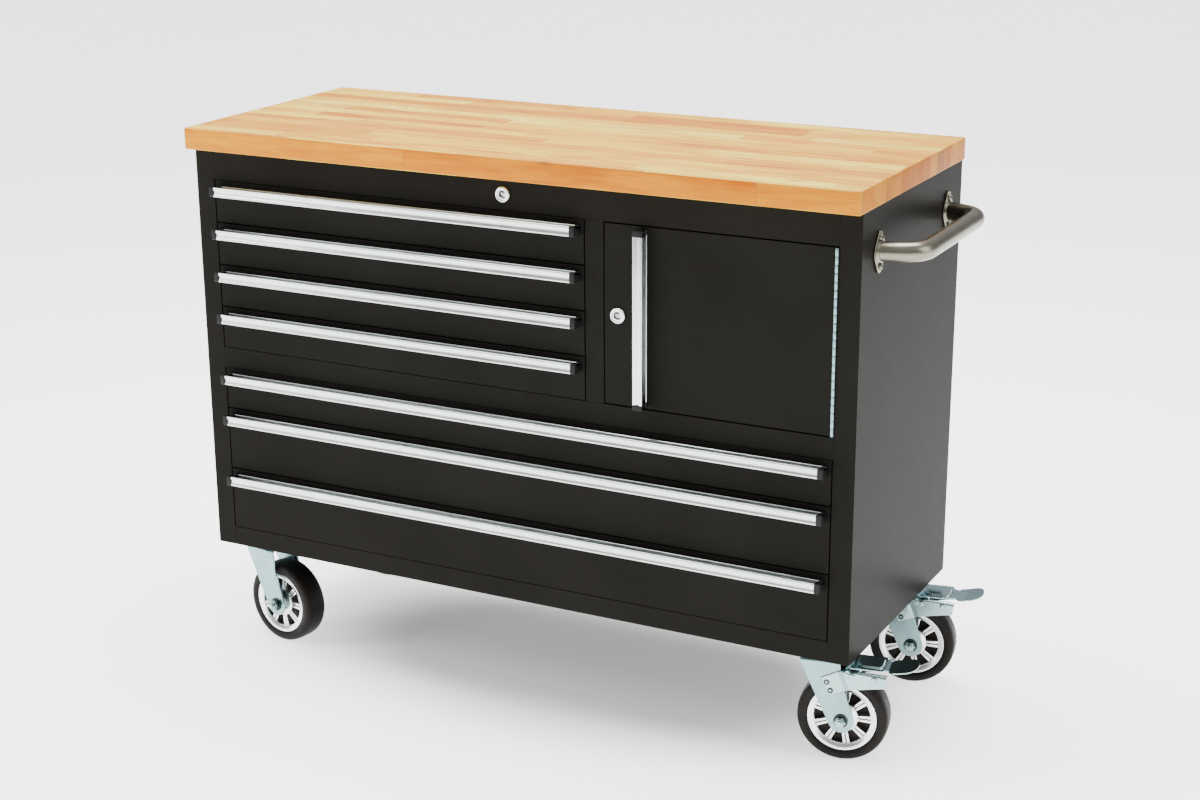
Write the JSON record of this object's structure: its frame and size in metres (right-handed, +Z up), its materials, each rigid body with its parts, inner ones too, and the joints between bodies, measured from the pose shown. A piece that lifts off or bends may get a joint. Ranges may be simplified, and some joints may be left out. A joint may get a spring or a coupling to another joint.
{
  "type": "workbench with drawers",
  "caption": "Rolling steel workbench with full-width and part-width drawers, a hinged cupboard, a wooden top, a side push handle and swivel casters.",
  "frame": {"origin": "on the floor, under the middle of the box round the whole bench, push handle included", "axes": "+X along the length towards the push handle, +Y from the drawer fronts to the back, +Z up"},
  "size_m": [1.3134, 0.485, 0.9553],
  "materials": {
    "black_steel": "satin black powder coat",
    "worktop_wood": "oiled laminated staves",
    "aluminium": "satin anodised",
    "zinc": "bright blue zinc plate",
    "slide_steel": "zinc plated",
    "stainless": "brushed stainless",
    "chrome": "polished",
    "wheel_centre": "bright cast",
    "tyre": "smooth black rubber"
  },
  "bodies": {
    "root": {"back_panel": "black_steel", "bottom_pan": "black_steel", "cupboard_shelf": "black_steel", "divider": "black_steel", "door_hinge_post_leaf": "zinc", "front_left_caster_plate": "zinc", "front_right_caster_plate": "zinc", "left_side": "black_steel", "main_lock_housing": "chrome", "mid_deck": "black_steel", "push_handle": "stainless", "rear_left_caster_plate": "zinc", "rear_right_caster_plate": "zinc", "right_side": "black_steel", "slides_lower_left": "slide_steel", "slides_lower_right": "slide_steel", "slides_upper_left": "slide_steel", "slides_upper_right": "slide_steel", "top_frame": "black_steel", "worktop": "worktop_wood"},
    "drawer_1": {"drawer_1_box": "black_steel", "drawer_1_pull": "aluminium"},
    "drawer_2": {"drawer_2_box": "black_steel", "drawer_2_pull": "aluminium"},
    "drawer_3": {"drawer_3_box": "black_steel", "drawer_3_pull": "aluminium"},
    "drawer_4": {"drawer_4_box": "black_steel", "drawer_4_pull": "aluminium"},
    "drawer_5": {"drawer_5_box": "black_steel", "drawer_5_pull": "aluminium"},
    "drawer_6": {"drawer_6_box": "black_steel", "drawer_6_pull": "aluminium"},
    "drawer_7": {"drawer_7_box": "black_steel", "drawer_7_pull": "aluminium"},
    "cupboard_door": {"door": "black_steel", "door_pull": "aluminium", "door_lock_housing": "chrome", "door_hinge_door_leaf": "zinc"},
    "door_lock": {"door_lock_plug": "chrome"},
    "main_lock": {"main_lock_plug": "chrome"},
    "front_left_caster": {"front_left_fork": "zinc", "front_left_axle": "zinc"},
    "front_left_wheel": {"front_left_wheel_hub": "wheel_centre", "front_left_tyre": "tyre"},
    "front_right_caster": {"front_right_fork": "zinc", "front_right_axle": "zinc", "front_right_brake_housing": "zinc"},
    "front_right_wheel": {"front_right_wheel_hub": "wheel_centre", "front_right_tyre": "tyre"},
    "front_right_pedal": {"front_right_brake_pedal": "zinc"},
    "rear_left_caster": {"rear_left_fork": "zinc", "rear_left_axle": "zinc"},
    "rear_left_wheel": {"rear_left_wheel_hub": "wheel_centre", "rear_left_tyre": "tyre"},
    "rear_right_caster": {"rear_right_fork": "zinc", "rear_right_axle": "zinc", "rear_right_brake_housing": "zinc"},
    "rear_right_wheel": {"rear_right_wheel_hub": "wheel_centre", "rear_right_tyre": "tyre"},
    "rear_right_pedal": {"rear_right_brake_pedal": "zinc"}
  },
  "joints": [
    {"name": "drawer_1_slide", "type": "slide", "parent": "root", "child": "drawer_1", "axis": [0, -1, 0], "range_m": [0, 0.3]},
    {"name": "drawer_2_slide", "type": "slide", "parent": "root", "child": "drawer_2", "axis": [0, -1, 0], "range_m": [0, 0.3]},
    {"name": "drawer_3_slide", "type": "slide", "parent": "root", "child": "drawer_3", "axis": [0, -1, 0], "range_m": [0, 0.3]},
    {"name": "drawer_4_slide", "type": "slide", "parent": "root", "child": "drawer_4", "axis": [0, -1, 0], "range_m": [0, 0.3]},
    {"name": "drawer_5_slide", "type": "slide", "parent": "root", "child": "drawer_5", "axis": [0, -1, 0], "range_m": [0, 0.3]},
    {"name": "drawer_6_slide", "type": "slide", "parent": "root", "child": "drawer_6", "axis": [0, -1, 0], "range_m": [0, 0.3]},
    {"name": "drawer_7_slide", "type": "slide", "parent": "root", "child": "drawer_7", "axis": [0, -1, 0], "range_m": [0, 0.3]},
    {"name": "door_hinge", "type": "hinge", "parent": "root", "child": "cupboard_door", "pos_m": [0.52725, -0.2185, 0.715], "axis": [0, 0, 1], "range_deg": [0, 110]},
    {"name": "door_lock_turn", "type": "hinge", "parent": "cupboard_door", "child": "door_lock", "pos_m": [0.16235, -0.2175, 0.715], "axis": [0, 1, 0], "range_deg": [0, 90]},
    {"name": "main_lock_turn", "type": "hinge", "parent": "root", "child": "main_lock", "pos_m": [-0.04315, -0.2175, 0.891], "axis": [0, 1, 0], "range_deg": [0, 90]},
    {"name": "front_left_swivel", "type": "hinge", "parent": "root", "child": "front_left_caster", "pos_m": [-0.58565, -0.1515, 0.185], "axis": [0, 0, 1], "continuous": true},
    {"name": "front_left_wheel_turn", "type": "hinge", "parent": "front_left_caster", "child": "front_left_wheel", "pos_m": [-0.5502, -0.15775, 0.075], "axis": [0.1736, 0.9848, 0], "continuous": true},
    {"name": "front_right_swivel", "type": "hinge", "parent": "root", "child": "front_right_caster", "pos_m": [0.49935, -0.1515, 0.185], "axis": [0, 0, 1], "continuous": true},
    {"name": "front_right_wheel_turn", "type": "hinge", "parent": "front_right_caster", "child": "front_right_wheel", "pos_m": [0.53469, -0.14463, 0.075], "axis": [-0.1908, 0.9816, 0], "continuous": true},
    {"name": "front_right_brake", "type": "hinge", "parent": "front_right_caster", "child": "front_right_pedal", "pos_m": [0.54352, -0.14291, 0.163], "axis": [-0.1908, 0.9816, 0], "range_deg": [0, 8]},
    {"name": "rear_left_swivel", "type": "hinge", "parent": "root", "child": "rear_left_caster", "pos_m": [-0.58565, 0.1825, 0.185], "axis": [0, 0, 1], "continuous": true},
    {"name": "rear_left_wheel_turn", "type": "hinge", "parent": "rear_left_caster", "child": "rear_left_wheel", "pos_m": [-0.55182, 0.19481, 0.075], "axis": [-0.342, 0.9397, 0], "continuous": true},
    {"name": "rear_right_swivel", "type": "hinge", "parent": "root", "child": "rear_right_caster", "pos_m": [0.49935, 0.1825, 0.185], "axis": [0, 0, 1], "continuous": true},
    {"name": "rear_right_wheel_turn", "type": "hinge", "parent": "rear_right_caster", "child": "rear_right_wheel", "pos_m": [0.53469, 0.18937, 0.075], "axis": [-0.1908, 0.9816, 0], "continuous": true},
    {"name": "rear_right_brake", "type": "hinge", "parent": "rear_right_caster", "child": "rear_right_pedal", "pos_m": [0.54352, 0.19109, 0.163], "axis": [-0.1908, 0.9816, 0], "range_deg": [0, 8]}
  ]
}
